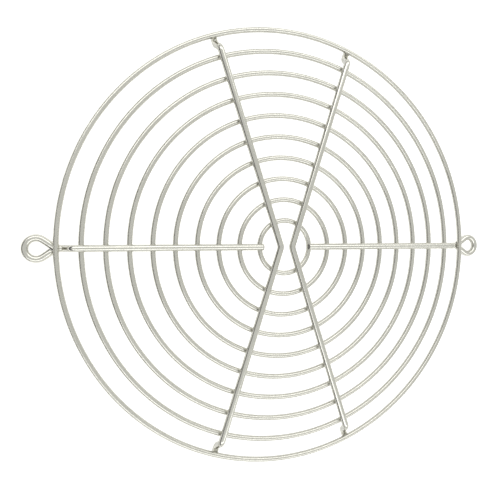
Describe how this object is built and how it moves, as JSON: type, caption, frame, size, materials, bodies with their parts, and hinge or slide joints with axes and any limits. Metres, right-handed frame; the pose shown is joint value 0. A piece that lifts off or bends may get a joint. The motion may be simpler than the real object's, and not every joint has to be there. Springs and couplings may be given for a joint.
{
  "type": "wire fan guard",
  "caption": "Round finger guard of plated wire for an axial fan: concentric rings welded to crossing spokes, with curled mounting eyes at both sides.",
  "frame": {"origin": "middle of the rings, on the plane of the fan's face that the undersides of the mounting eyes and of the V-spokes' ends rest on", "axes": "+X towards the right eye, +Y up the guard's face, +Z away from the fan"},
  "size_m": [0.1708, 0.1522, 0.0061],
  "materials": {
    "ring_wire": "bright plated steel wire",
    "spoke_wire": "bright plated steel wire"
  },
  "bodies": {
    "root": {"ring_1": "ring_wire", "ring_2": "ring_wire", "ring_3": "ring_wire", "ring_4": "ring_wire", "ring_5": "ring_wire", "ring_6": "ring_wire", "ring_7": "ring_wire", "ring_8": "ring_wire", "ring_9": "ring_wire", "ring_10": "ring_wire", "v_spoke_left": "spoke_wire", "v_spoke_right": "spoke_wire", "eye_spoke_left": "spoke_wire", "eye_spoke_right": "spoke_wire"}
  },
  "joints": []
}
